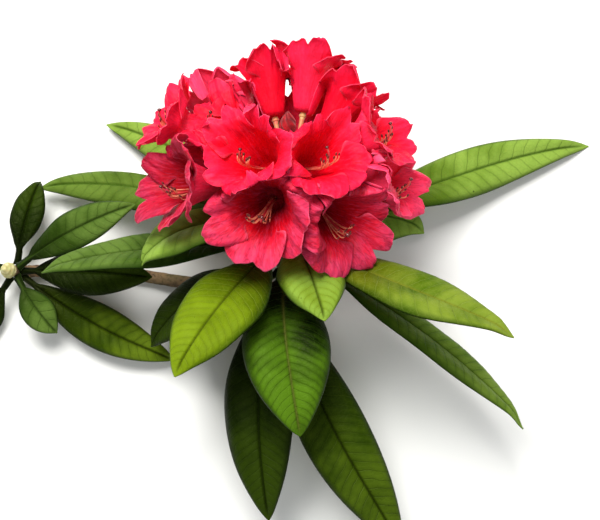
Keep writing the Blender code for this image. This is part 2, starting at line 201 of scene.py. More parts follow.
FLOWERS = (
    Flower("flower_01", 38, -42, 50, 52, BRIGHT),
    Flower("flower_02", 37, 38, 50, 50, BRIGHT),
    Flower("flower_03", 70, -18, 52, 57, ROSY_SHADED),
    Flower("flower_04", 84, 36, 52, 50, ROSY_SHADED),
    Flower("flower_05", 72, -66, 68, 48, WINE_SHADED),
    Flower("flower_06", 56, -96, 74, 40, BRIGHT),
    Flower("flower_07", 61, -145, 68, 50, PINK_LIT),
    Flower("flower_08", 45, 164, 70, 44, BRIGHT),
    Flower("flower_09", 52, 136, 63, 46, SCARLET),
    Flower("flower_10", 52, 86, 62, 44, BRIGHT),
    Flower("flower_11", 75, 73, 63, 44, PINK_LIT),
    Flower("flower_12", 38, -92, 58, 44, BRIGHT),
    Flower("flower_13", 47, -166, 68, 40, SCARLET),
    Flower("flower_14", 82, -120, 52, 40, ROSY_SHADED),
    Flower("flower_15", 86, -160, 55, 44, ROSY_SHADED),
    Flower("flower_16", 82, 168, 55, 46, ROSY_SHADED),
    Flower("flower_17", 84, 116, 55, 44, ROSY_SHADED),
)

# Slopes of a blade's cross-section at its midrib and margin, the power of the bend between them,
# and how far its tip hooks down
Section = namedtuple("Section", "rise fall power hook")
PLAIN_SECTION = Section(0.32, 1.05, 2.2, 1.5)
SECTIONS = {
    "leaf_01": Section(0.25, 1.30, 1.6, 2.0),
    "leaf_02": Section(0.25, 1.30, 1.6, 2.5),
    "leaf_05": Section(0.26, 1.10, 2.4, 1.0),
    "leaf_06": Section(0.24, 1.10, 2.6, 1.0),
    "leaf_10": Section(0.30, 1.15, 2.4, 2.5),
    "leaf_11": Section(0.34, 1.15, 2.0, 3.0),
    "leaf_12": Section(0.36, 1.25, 2.2, 3.0),
    "leaf_13": Section(0.10, 1.10, 1.5, 4.0),
    "side_leaf_3": Section(0.25, 1.05, 2.0, 3.0),
}

# A leaf's relief and mesh; the bulge is for each millimetre between veins, ripples for each leaf
VEIN_ROW = 0.75
VEIN_SKEW = 0.62
VEIN_BULGE = 0.02
WAVE_HEIGHTS = (0.3, 0.7)
WAVE_COUNTS = (2.2, 3.4)
SWELL_HEIGHTS = (0.2, 0.6)
SWELL_COUNTS = (0.9, 1.4)
DENT_HEIGHT = 0.35
DENT_COUNT = 2.3
HOOK_START = 0.88
COLUMN_CROWDING = 1.35
MIDRIB_GROOVE = 0.7
MIDRIB_WIDTH = 0.6
MIDRIB_RIDGE = 1.1
PETIOLE_ROWS = 8
TOP_COLUMNS = 48
UNDER_COLUMNS = 14

# A bell's wall from its foot to a lobe's tip, as radius and depth from the mouth, and its lobes
BELL_WALL = (
    (0.3, -31.4), (4.4, -30.5), (5.8, -27.0), (7.6, -21.5), (10.2, -16.0), (13.4, -11.0),
    (16.9, -6.8), (20.6, -3.4), (24.2, -1.0), (27.4, 0.0), (30.0, -0.4),
)
BELL_HALF_WIDTH = 26.0
SINUS_RADIUS = 12.0
LOBE_HALF_WIDTH = 15.8
LOBE_COLUMNS = 36
LOBE_ROWS = 22
TUBE_ROWS = 12
LOBE_SHOULDER = 0.50
LOBE_NOTCH = 0.32
LOBE_CREST = 0.50
LOBE_SIZES = (0.94, 1.05)
NOTCH_DEPTHS = (0.6, 1.2)
FURROW_DEPTH = 1.5
FURROW_WIDTH = 0.11
CHEEK_HEIGHT = 1.2
SIDE_DROP = 2.0
SIDE_LAP = 2.3
CURLS = (-2.0, 0.6)
LEANS = (-0.12, 0.08)
RUFFLE_HEIGHT = 0.8
CRINKLE_SHARE = 0.045
CRINKLES = (1.9, 2.7, 3.9, 5.7)
FLUTE = 0.45
PETAL_THICKNESS = 0.28

# How a crowded bell gives way: it laps over its outer neighbours and ducks under its inner ones
CELL_POWER = 6.0
CELL_GAP = 0.25
MEETING_DEPTH = 6.0
MEETING_RADIUS = 0.31
WALL_WAVE = 1.6
LAP_OVER = 9.0
LAP_ONSET = (-9.0, -1.0)
LAP_UNDER = 0.5
LAP_REACH = 7.0
LIFT_ROOM = (2.0, -3.0)
LIFT_ONSET = (-12.0, -4.0)
LIFT_LEAD = 1.5
DUCK_ROOM = (6.0, -1.0)
DUCK_LEAD = 7.0
DEEPEST_DUCK = 14.0
SHIFT_SOFTNESS = 2.0
STRETCH = 0.35
BELL_BRIM = 3.0
BELL_CLEARANCE = 1.4
BRIM_CLEARANCE = 3.5
BRIM_ONSET = (0.5, 0.9)
BRIM_SOFTNESS = 0.6
STALK_SPREAD = 0.04
BUD_RANK = 99
BUD_SPACE = ((0.0, 25.0, 46.0), (0.10, 0.13, 0.50))

# Flowers that differ from the plain bell: narrower tubes, turned lobes in degrees, shorter lobes
SLIM_TUBES = {"flower_06": 0.9}
LOBE_TURNS = {"flower_03": 36.0}
SHORT_LOBES = {
    "flower_03": {1: 0.92, 2: 0.80, 3: 0.82}, "flower_05": {3: 0.82}, "flower_08": {1: 0.75},
    "flower_09": {1: 0.74, 2: 0.68}, "flower_10": {2: 0.86, 3: 0.88}, "flower_11": {2: 0.62},
    "flower_13": {3: 0.80, 4: 0.62},
}

# What stands in a bell, as lengths and radii, and how deep it starts below the mouth
STAMENS = 10
STAMEN_FOOT = -29.0
FILAMENT_RADII = np.linspace(0.40, 0.24, 14)
ANTHER_LENGTH = 0.85
ANTHER_RADIUS = 0.36
ANTHER_ASIDE = 0.28
STYLE_RADII = np.linspace(0.62, 0.5, 18)
STIGMA_LENGTH = 0.65
STIGMA_RADIUS = 1.05
STALK_RADII = (1.5, 1.2, 1.05, 1.0, 1.0, 1.0, 1.0, 1.05, 1.2, 1.6)
STALK_NECK = -31.6
CALYX_DEPTH = -33.0
CALYX_LENGTH = 1.3
CALYX_RADIUS = 1.9


def unit(vector):
    """The same direction with a length of one."""
    return vector / np.linalg.norm(vector, axis=-1, keepdims=True)


def smooth(low, high, value):
    """0 below low, 1 above high, with a soft step between them."""
    t = np.clip((value - low) / (high - low), 0.0, 1.0)
    return t * t * (3.0 - 2.0 * t)


def curve_at(rows, share):
    """Values of a table's rows at shares from 0 to 1, on a smooth curve through all of them."""
    rows = np.asarray(rows, float)
    share = np.asarray(share, float)
    step = np.clip(share, 0.0, 1.0) * (len(rows) - 1)
    low = np.minimum(step.astype(int), len(rows) - 2)
    t = (step - low)[..., None]
    padded = np.vstack([2 * rows[:1] - rows[1:2], rows, 2 * rows[-1:] - rows[-2:-1]])
    a, b, c, d = (padded[low + k] for k in range(4))
    bend = (2 * a - 5 * b + 4 * c - d) * t**2 + (3 * b - 3 * c + d - a) * t**3
    return 0.5 * (2 * b + (c - a) * t + bend)


def grid_faces(index):
    """Four-sided faces between neighbours in a grid of point numbers."""
    corners = (index[:-1, :-1], index[:-1, 1:], index[1:, 1:], index[1:, :-1])
    return np.stack(corners, axis=-1).reshape(-1, 4)


def closed_columns(index):
    """The grid with its first column repeated after its last."""
    return np.hstack([index, index[:, :1]])


def closed_tube(rows, sides):
    """Faces of rows of points round a tube, with both ends closed."""
    index = np.arange(rows * sides).reshape(rows, sides)
    ends = [index[0, ::-1].tolist(), index[-1].tolist()]
    return grid_faces(closed_columns(index)).tolist() + ends


def round_turn(sides):
    """Even angles all the way round."""
    return 2 * pi * np.arange(sides) / sides


def circle(first, second, turns):
    """Directions at angles from a first direction towards a second."""
    return np.cos(turns)[..., None] * first + np.sin(turns)[..., None] * second


def away_from(direction):
    """An axis that is not along the direction."""
    return RIGHT if abs(direction[0]) < 0.8 else UP


def ring_axes(forward, helper):
    """Two directions across a route at each of its points, carried along it without twist."""
    first = unit(np.cross(forward[0], helper))
    axes = []
    for direction in forward:
        first = unit(first - direction * first.dot(direction))
        axes.append((first, np.cross(direction, first)))
    return axes


def running_length(points):
    """Length from the start of a line of points to each of them."""
    return np.concatenate([[0.0], np.cumsum(np.linalg.norm(np.diff(points, axis=0), axis=1))])


class Batch:
    """Points, faces and point values gathered for one piece."""

    def __init__(self):
        self.points = []
        self.faces = []
        self.values = {}
        self.count = 0

    def add(self, points, faces, **values):
        """Add points and faces, with values that are stored on the points."""
        points = np.asarray(points, float).reshape(-1, 3)
        self.faces += [[k + self.count for k in face] for face in faces]
        self.points.append(points)
        self.count += len(points)
        for key, value in values.items():
            self.values.setdefault(key, []).append(np.broadcast_to(value, len(points)))

    def piece(self, name, materials, slot, nodes=()):
        """Make the piece, on the shoot's one body and in place of the frame's nodes."""
        mesh = bpy.data.meshes.new(name)
        mesh.from_pydata((np.vstack(self.points) * MM).tolist(), [], self.faces)
        for key, parts in self.values.items():
            layer = mesh.attributes.new(key, "FLOAT", "POINT")
            layer.data.foreach_set("value", np.concatenate(parts).astype(np.float32))
        for material in materials:
            mesh.materials.append(material)
        mesh.shade_smooth()
        made = bpy.data.objects.new(name, mesh)
        bpy.context.scene.collection.objects.link(made)
        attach(made, "root")
        if nodes:
            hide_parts(*nodes)
        return made


def colour(red, green, blue):
    """A display colour from 0 to 255 a channel, as the light values that a shader takes."""
    share = np.array((red, green, blue)) / 255.0
    light = np.where(share <= 0.04045, share / 12.92, ((share + 0.055) / 1.055) ** 2.4)
    return (*light.tolist(), 1.0)


class Look:
    """A procedural material, with short ways to add its nodes."""

    def __init__(self, name, roughness, **constants):
        self.material = bpy.data.materials.new(name)
        self.material.use_nodes = True
        self.tree = self.material.node_tree
        self.shader = self.tree.nodes["Principled BSDF"]
        for key, value in {"Roughness": roughness, **constants}.items():
            self.shader.inputs[key.replace("_", " ")].default_value = value

    def put(self, socket, value):
        """Join an output to a socket, or set the socket to a number or a display colour."""
        if isinstance(value, bpy.types.NodeSocket):
            self.tree.links.new(value, socket)
        else:
            socket.default_value = colour(*value) if isinstance(value, tuple) else value

    def node(self, kind, **inputs):
        """A new node, with its named inputs joined or set."""
        node = self.tree.nodes.new("ShaderNode" + kind)
        for key, value in inputs.items():
            self.put(node.inputs[key.replace("_", " ")], value)
        return node

    def value(self, name):
        """A value stored on the mesh's points."""
        node = self.node("Attribute")
        node.attribute_name = name
        return node.outputs["Fac"]

    def place(self, x, y, z):
        """A vector from three values."""
        return self.node("CombineXYZ", X=x, Y=y, Z=z).outputs["Vector"]

    def position(self):
        """The point's place in metres."""
        return self.node("NewGeometry").outputs["Position"]

    def noise(self, place, scale, detail=2.0, roughness=0.5, distortion=0.0):
        """Soft random values, about 0.5 on average."""
        made = self.node("TexNoise", Vector=place, Scale=scale, Detail=detail, Roughness=roughness)
        self.put(made.inputs["Distortion"], distortion)
        return made.outputs["Fac"]

    def cell_edges(self, place, scale):
        """Distance from the borders of a net of cells."""
        node = self.node("TexVoronoi", Vector=place, Scale=scale)
        node.feature = "DISTANCE_TO_EDGE"
        return node.outputs["Distance"]

    def remap(self, value, low, high, to_low=0.0, to_high=1.0):
        """A value carried from one span to another and kept within it."""
        spans = {"From_Min": low, "From_Max": high, "To_Min": to_low, "To_Max": to_high}
        return self.node("MapRange", Value=value, **spans).outputs["Result"]

    def math(self, operation, first, second=0.0):
        """One operation on one or two values."""
        node = self.node("Math")
        node.operation = operation
        self.put(node.inputs[0], first)
        self.put(node.inputs[1], second)
        return node.outputs["Value"]

    def plus(self, first, second):
        """The sum of two values."""
        return self.math("ADD", first, second)

    def times(self, first, second):
        """The product of two values."""
        return self.math("MULTIPLY", first, second)

    def apart(self, first, second):
        """How far two values are apart."""
        return self.math("ABSOLUTE", self.math("SUBTRACT", first, second))

    def mix(self, share, first, second):
        """A colour between two."""
        node = self.node("Mix")
        node.data_type = "RGBA"
        for socket, value in ((0, share), (6, first), (7, second)):
            self.put(node.inputs[socket], value)
        return node.outputs[2]

    def coats(self, base, *layers):
        """A base colour under others, each laid on by its share."""
        for share, tint in layers:
            base = self.mix(share, base, tint)
        return base

    def grained(self, scale, first, second, detail=3.0, low=0.35, high=0.65):
        """A colour that wanders between two by a noise in space."""
        return self.mix(self.remap(self.noise(self.position(), scale, detail), low, high), first, second)

    def bump(self, height, distance, strength=1.0):
        """Bend the light as a relief of this height would, over a distance in metres."""
        node = self.node("Bump", Height=height, Distance=distance, Strength=strength)
        self.put(self.shader.inputs["Normal"], node.outputs["Normal"])

    def bumped(self, scale, detail, distance):
        """A fine grain of bumps in space."""
        self.bump(self.noise(self.position(), scale, detail), distance)

    def finish(self, base, roughness=None):
        """The material, with its base colour and where given its roughness joined."""
        self.put(self.shader.inputs["Base Color"], base)
        if roughness is not None:
            self.put(self.shader.inputs["Roughness"], roughness)
        return self.material


# Leaves


def main_ring():
    """Where the leaves of the flowering shoot leave the stem."""
    return Ring(WHORL, AXIS, FRONT, RIGHT, STEM_RADIUS)


def side_ring():
    """Where the leaves of the side shoot leave its twig; degrees start at the right."""
    axis = unit(SIDE_AXIS)
    right = unit(RIGHT - axis * axis[0])
    middle = SIDE_PLACE + (WHORL[0], WHORL[1], 0.0)
    return Ring(middle, axis, right, np.cross(axis, right), TWIG_TIP_RADIUS)


def blade_half_width(leaf, share, petiole=PETIOLE, bluntness=0.0):
    """Half of a leaf's width at shares of its whole length, petiole included."""
    petiole = petiole / leaf.length
    along = np.clip((share - petiole) / (1.0 - petiole), 0.0, 1.0)
    outline = np.maximum(np.sin(pi * along), 0.0) ** (OUTLINE_FULLNESS - bluntness * along**2)
    least = PETIOLE_HALF_WIDTH + (TIP_HALF_WIDTH - PETIOLE_HALF_WIDTH) * along
    foot = 0.8 * np.exp(-share * leaf.length / 2.0)
    return np.maximum(0.5 * leaf.width * outline, least) + foot


def blade_share(leaf, share):
    """0 on the petiole, rising to 1 where the blade is full."""
    return np.clip((share - PETIOLE / leaf.length) / BLADE_ONSET, 0.0, 1.0)


def floor_clearance(leaf, share, side):
    """Height that a midrib needs over the surface so that the leaf just lies on it."""
    blade = blade_share(leaf, share)
    thickness = PETIOLE_THICKNESS + (CAD_BLADE_THICKNESS - PETIOLE_THICKNESS) * blade
    return blade_half_width(leaf, share) * (abs(side[2]) + MARGIN_DROP) + thickness + LYING_GAP


def outward_of(leaf, ring, share):
    """Direction away from the stem at a share of a leaf's length, swing included."""
    around = radians(leaf.around + leaf.swing * share)
    return ring.front * cos(around) + ring.side * sin(around)


def walk_midrib(leaf, ring):
    """Rows of place, forward and upper directions along a midrib."""
    outward = outward_of(leaf, ring, 0.0)
    point = ring.middle + ring.axis * leaf.height + outward * (ring.radius + GAP)
    upper = ring.axis
    rows = [np.concatenate((point, outward, upper))]
    for count in range(WALK_STEPS):
        share = (count + 1.0) / WALK_STEPS
        slope = radians(leaf.rise - leaf.droop * share**DROOP_POWER)
        forward = outward_of(leaf, ring, share) * cos(slope) + ring.axis * sin(slope)
        room = point[2] - floor_clearance(leaf, share, np.cross(forward, upper))
        if forward[2] < -room / LANDING:
            level = unit(forward * (1.0, 1.0, 0.0))
            fall = min(max(-room / LANDING, -STEEPEST_FALL), STEEPEST_CLIMB)
            forward = level * (1.0 - fall * fall) ** 0.5 + UP * fall
        point = point + forward * (leaf.length / WALK_STEPS)
        upper = upper - forward * upper.dot(forward)
        lying = min(max(1.0 - room / LYING_HEIGHT, 0.0), 1.0)
        level_upper = UP - forward * forward[2]
        upper = unit(upper + (level_upper - upper) * LYING_TURN * lying)
        rows.append(np.concatenate((point, forward, upper)))
    return np.array(rows)


def bent_half(section, wide):
    """Places across and above the midrib, for each unit of a half blade, at shares of its width."""
    fine = np.linspace(0.0, 1.0, 201)
    slope = section.rise - (section.rise + section.fall) * fine**section.power
    across = np.concatenate([[0.0], np.cumsum(np.cos(slope[1:]))]) / 200.0
    above = np.concatenate([[0.0], np.cumsum(np.sin(slope[1:]))]) / 200.0
    return np.interp(wide, fine, across), np.interp(wide, fine, above)


def leaf_columns():
    """Places across a leaf, from -1 to 1 over its upper side and back under it; close at the midrib."""
    even = np.linspace(-1.0, 1.0, TOP_COLUMNS + 1)
    top = np.sign(even) * np.abs(even) ** COLUMN_CROWDING
    below = np.linspace(1.0, -1.0, UNDER_COLUMNS + 1)[1:-1]
    under = np.concatenate([np.zeros(len(top)), np.ones(len(below))])
    return np.concatenate([top, below]), under


def ripple(rng, heights, counts):
    """A random height, turning speed and start for a wave along a leaf."""
    return rng.uniform(*heights), 2 * pi * rng.uniform(*counts), rng.uniform(0, 6)


def make_leaf(leaf, ring, material, slot, seed):
    """A blade with sunken veins, rolled margins, a ridged underside and a grooved petiole."""
    rng = np.random.default_rng(seed)
    stalk_length = PETIOLE if slot == "leaf" else SIDE_PETIOLE
    section = SECTIONS.get(leaf.name, PLAIN_SECTION)
    petiole = stalk_length / leaf.length
    spacing = leaf.look.veins
    pairs = max(round((leaf.length - stalk_length) / spacing), 5)
    across, under = leaf_columns()
    u = across[None, :]
    wide = np.abs(u)
    skew = VEIN_SKEW * 0.5 * leaf.width / (leaf.length - stalk_length)
    s = np.linspace(0.0, 1.0, pairs * round(spacing / VEIN_ROW) + 1)[:, None]
    blade_along = s + 4.0 * skew * s * (1.0 - s) * (0.8 * wide + 0.2 * wide**2)
    stalk = np.linspace(-0.4 / leaf.length, petiole, PETIOLE_ROWS + 1)[:-1, None]
    share = np.vstack([stalk + 0.0 * u, petiole + (1.0 - petiole) * blade_along])
    s = np.vstack([np.zeros_like(stalk), s]) + 0.0 * u

    rows = curve_at(walk_midrib(leaf, ring), share)
    point, forward, upper = rows[..., 0:3], unit(rows[..., 3:6]), unit(rows[..., 6:9])
    upper = unit(upper - forward * np.sum(upper * forward, axis=-1, keepdims=True))
    side = np.cross(forward, upper)
    roll = radians(leaf.roll) * np.minimum(share / ROLL_ONSET, 1.0)
    side, upper = circle(side, upper, roll), circle(upper, -side, roll)

    half = blade_half_width(leaf, share, stalk_length, TIP_BLUNTNESS)
    blade = np.clip((share - petiole) / BLADE_ONSET, 0.0, 1.0)
    tip = np.clip((share - 1.0 + TIP_SHARE) / TIP_SHARE, 0.0, 1.0)
    full = blade * (1.0 - tip**2)
    out, above = bent_half(section, wide)
    out = wide + (out - wide) * full
    thick = PETIOLE_THICKNESS + (BLADE_THICKNESS - PETIOLE_THICKNESS) * blade
    rounding = 0.5 * thick * wide**2 * (1.0 - full)

    phase = s * pairs + 0.5 * (u < 0)
    off = np.abs(phase - np.round(phase))
    fade = smooth(0.0, 0.10, s) * (1.0 - smooth(0.88, 1.0, s)) * (1.0 - smooth(0.75, 1.0, wide))
    midrib = np.exp(-((u * half / MIDRIB_WIDTH) ** 2)) * (1.0 - smooth(0.93, 1.0, share))
    uneven = np.sin(pi * off) + 0.5 * np.sin(1.9 * phase + 4.0 * wide)
    quilt = VEIN_BULGE * spacing * uneven * fade * smooth(0.02, 0.12, wide)
    height, speed, start = ripple(rng, WAVE_HEIGHTS, WAVE_COUNTS)
    wave = height * wide**3 * np.sin(speed * share + 2.0 * u + start)
    height, speed, start = ripple(rng, SWELL_HEIGHTS, SWELL_COUNTS)
    swell = height * np.sin(speed * share + start)
    dent = DENT_HEIGHT * np.sin(5.0 * u + 2 * pi * DENT_COUNT * share + rng.uniform(0, 6)) * wide
    hook = section.hook * smooth(HOOK_START, 1.0, share) ** 2
    top = half * above * full - rounding + quilt + (wave + swell + dent) * full
    top = top - MIDRIB_GROOVE * midrib * blade - hook
    taper = np.sqrt(np.maximum(1.0 - wide**2, 0.0))
    ridge = MIDRIB_RIDGE * midrib * (1.0 - 0.8 * share) * blade
    height = top - under * (thick * (0.35 + 0.65 * taper) + ridge)
    points = point + side * (np.sign(u) * out * half)[..., None] + upper * height[..., None]

    stored = {
        "phase": phase, "across": u * half, "along": share * leaf.length, "share": share,
        "under": np.broadcast_to(under[None, :], share.shape), "edge": wide + 0.0 * share,
        "midrib": midrib, "fade": fade,
    }
    batch = Batch()
    batch.add(points, closed_tube(*share.shape), **{key: value.ravel() for key, value in stored.items()})
    batch.piece(leaf.name + "_blade", [material], slot, [leaf.name])


LEAF_SHINE = (236, 255, 170)
LEAF_SPECK = (24, 24, 8)
LEAF_RELIEF = 0.0003
VEIN_LINE = 0.32


def leaf_material(name, look, seed):
    """Leathery green with a foot that is tinted on some leaves and in painted shade on most, painted
    shade on the margins, painted light towards the tip and on the panels between veins, and a fine net of
    sunken veins.
    """
    made = Look(name, look.roughness, Specular_IOR_Level=0.07, Specular_Tint=colour(*LEAF_SHINE))
    place = made.place(made.value("across"), made.value("along"), 37.0 * seed)
    share, fade = made.value("share"), made.value("fade")
    wander = made.times(made.math("SUBTRACT", made.noise(place, 0.10), 0.5), 0.7)
    phase = made.plus(made.value("phase"), wander)
    off = made.apart(phase, made.math("ROUND", phase))
    line = made.times(made.remap(off, 0.0, VEIN_LINE / look.veins, 1.0, 0.0), fade)
    # Lighter in the middle of each panel between veins: painted light on the bulges
    panel = made.times(made.times(off, fade), 0.5)
    net = made.remap(made.cell_edges(place, 0.42), 0.0, 0.10, 1.0, 0.0)

    tone_and_painted_light = made.plus(made.remap(made.noise(place, 0.06, 3.0), 0.3, 0.7, -0.10, 0.85), panel)
    # Painted shade near the foot, growing to painted light towards the tip
    tone_and_painted_light = made.plus(tone_and_painted_light, made.remap(share, 0.4, 1.0, -0.45, 0.70))
    base = made.coats(
        look.base,
        (tone_and_painted_light, look.light),
        # Foot colour: painted shade near the truss on most leaves, a real olive-brown tint on the fresh
        # and golden ones
        (made.remap(share, 0.15, 0.60, 1.0, 0.0), look.foot),
        # Darker margins: painted shade where the margins roll away from the light
        (made.remap(made.value("edge"), 0.76, 1.0, 0.0, 0.85), look.edge),
        (made.plus(made.times(line, 0.30), made.times(net, 0.10)), look.vein),
        (made.times(made.value("midrib"), 0.75), look.midrib),
        (made.value("under"), look.under),
        (made.remap(made.noise(place, 0.55, 1.0), 0.17, 0.21, 0.8, 0.0), LEAF_SPECK),
    )
    sunken = made.plus(made.times(line, -1.0), made.times(net, -0.35))
    fine = made.times(made.noise(place, 1.3, 3.0, 0.65), 0.55)
    made.bump(made.plus(sunken, fine), LEAF_RELIEF, 0.75)
    rough = made.remap(made.noise(place, 0.22), 0.3, 0.7, look.roughness - 0.05, look.roughness + 0.12)
    return made.finish(base, rough)


def make_leaves():
    """All the leaves of the flowering shoot and of the side shoot."""
    for leaves, ring, slot, first_seed in (
        (LEAVES, main_ring(), "leaf", LEAF_SEED), (SIDE_LEAVES, side_ring(), "side_leaf", SIDE_LEAF_SEED),
    ):
        for seed, leaf in enumerate(leaves, first_seed):
            material = leaf_material(leaf.name + "_green", leaf.look, seed)
            make_leaf(leaf, ring, material, slot, seed)


# Flowers


def flower_direction(flower):
    """Where a flower faces from the middle of the truss."""
    tilt = radians(flower.tilt)
    around = radians(flower.around)
    return AXIS * cos(tilt) + (FRONT * cos(around) + RIGHT * sin(around)) * sin(tilt)


def flower_axes(flower):
    """Forward, upper and side directions of a flower."""
    forward = flower_direction(flower)
    upper = unit(AXIS - forward * AXIS.dot(forward))
    return forward, upper, np.cross(forward, upper)


def wall_noise(points, first, second):
    """A smooth uneven field from -1 to 1, the same for both flowers of a pair."""
    seed = min(first, second) * 3.7 + max(first, second) * 1.9
    total = 0.0
    for k in range(3):
        turn = seed + 2.1 * k
        direction = np.array((cos(turn), sin(turn) * cos(1.7 * turn), sin(turn) * sin(1.7 * turn)))
        total = total + np.sin(points @ direction * (0.32 + 0.17 * k) + 5.0 * seed)
    return total / 3.0


def rank(place):
    """Order in which flowers lie over their neighbours; the bud in the middle comes last."""
    return (round(FLOWERS[place].tilt / 10), place) if place < len(FLOWERS) else (BUD_RANK, place)


def wall_level(flower):
    """Distance from the truss's middle to a bell's wall where it meets its neighbours."""
    return np.hypot(flower.reach - MEETING_DEPTH, MEETING_RADIUS * flower.width)


def softly(value, softness):
    """The value where it is above zero and nothing below, with a soft bend between."""
    return softness * np.logaddexp(0.0, value / softness)


def bell_spread(flower):
    """Distances from the truss's middle, and the angle that a bell takes up at each of them."""
    _, radius, depth = bell_wall(flower)
    ahead = flower.reach + depth
    distance = np.hypot(ahead, radius)
    angle = np.arctan2(radius, ahead)
    distance = np.concatenate([[0.0, distance[0] - 1.0], distance, [distance[-1] + 4.0]])
    return distance, np.concatenate([[STALK_SPREAD] * 2, angle, [STALK_SPREAD]])


def out_of_bell(flower, points):
    """Move what has come into a bell back out through its wall."""
    forward = flower_direction(flower)
    _, radius, depth = bell_wall(flower)
    moved = points - TRUSS
    ahead = moved @ forward
    aside = np.linalg.norm(moved - np.outer(ahead, forward), axis=-1)
    wall = flower.reach + np.interp(aside, radius, depth)
    within = smooth(radius[-1] + BELL_BRIM, radius[-1] - BELL_BRIM, aside)
    clearance = BELL_CLEARANCE + BRIM_CLEARANCE * smooth(*BRIM_ONSET, aside / radius[-1])
    return points - forward * (within * softly(ahead - wall + clearance, BRIM_SOFTNESS))[:, None]


def into_cell(flower, points):
    """Narrow a flower where others crowd it; it laps over outer ones and ducks under inner ones."""
    forward = flower_direction(flower)
    number = FLOWERS.index(flower)
    own_level = wall_level(flower)
    moved = points - TRUSS
    ahead = moved @ forward
    sideways = moved - np.outer(ahead, forward)
    radius = np.maximum(np.linalg.norm(sideways, axis=-1), 0.01)
    sideways = sideways / radius[:, None]
    distance = np.linalg.norm(moved, axis=-1)
    own_share = np.cos(np.interp(distance, *bell_spread(flower)))[:, None]
    others = [
        (place, flower_direction(other), wall_level(other), bell_spread(other))
        for place, other in enumerate(FLOWERS) if place != number
    ]
    others.append((len(FLOWERS), AXIS, 0.0, BUD_SPACE))
    tightness = radius**-CELL_POWER
    shift = np.zeros(len(points))
    for place, direction, other_level, spread in others:
        if direction.dot(forward) < 0.0:
            continue
        over = rank(number) < rank(place)
        laps = abs(own_level - other_level) < LAP_REACH
        sign = 1.0 if number < place else -1.0
        level = 0.5 * (own_level + other_level) + 1.0
        past = distance - level
        lap = laps * (LAP_OVER * smooth(*LAP_ONSET, past) if over else LAP_UNDER)
        normal = unit(forward * np.cos(np.interp(distance, *spread))[:, None] - direction * own_share)
        uneven = sign * WALL_WAVE * wall_noise(moved, number, place) * smooth(20, 40, distance)
        middle_room = ahead * (normal @ forward) - CELL_GAP - uneven
        slope = np.maximum(-np.sum(sideways * normal, axis=-1), 0.001)
        tightness = tightness + (np.maximum(middle_room + lap, 1.0) / slope) ** -CELL_POWER
        room = middle_room - radius * slope
        if laps and over:
            near = smooth(*LIFT_ROOM, room) * smooth(*LIFT_ONSET, past)
            shift = shift + near * softly(LIFT_LEAD - past, SHIFT_SOFTNESS)
        elif laps:
            shift = shift - smooth(*DUCK_ROOM, room) * softly(past + DUCK_LEAD, SHIFT_SOFTNESS)
    narrow = tightness ** (-1.0 / CELL_POWER)
    rise = np.maximum(shift, -DEEPEST_DUCK) + STRETCH * (radius - narrow) * (shift > -1.0)
    points = TRUSS + forward * (ahead + rise)[:, None] + sideways * narrow[:, None]
    for place, other in enumerate(FLOWERS):
        if rank(place) < rank(number) and abs(own_level - wall_level(other)) < LAP_REACH:
            points = out_of_bell(other, points)
    return points


def above_floor(points):
    """Lift what would come too near the surface, softly."""
    depth = FLOWER_FLOOR_SOFT - FLOWER_FLOOR
    z = points[..., 2]
    lifted = FLOWER_FLOOR + depth * np.exp(np.minimum(z - FLOWER_FLOOR_SOFT, 0.0) / depth)
    result = points.copy()
    result[..., 2] = np.where(z >= FLOWER_FLOOR_SOFT, z, lifted)
    return result


def bell_scale(flower):
    """Size of a flower's mouth against the plain bell's."""
    return 0.5 * flower.width / BELL_HALF_WIDTH


def bell_wall(flower):
    """Lengths along a bell's wall, with the radius and depth there."""
    dense = curve_at(BELL_WALL, np.linspace(0.0, 1.0, 300))
    length = running_length(dense)
    share = length / length[-1]
    wider = 1.0 + (bell_scale(flower) - 1.0) * smooth(0.0, 0.6, share)
    slim = SLIM_TUBES.get(flower.name, 1.0)
    wider = wider * (slim + (1.0 - slim) * smooth(0.55, 1.0, share))
    return length, dense[:, 0] * wider, dense[:, 1]


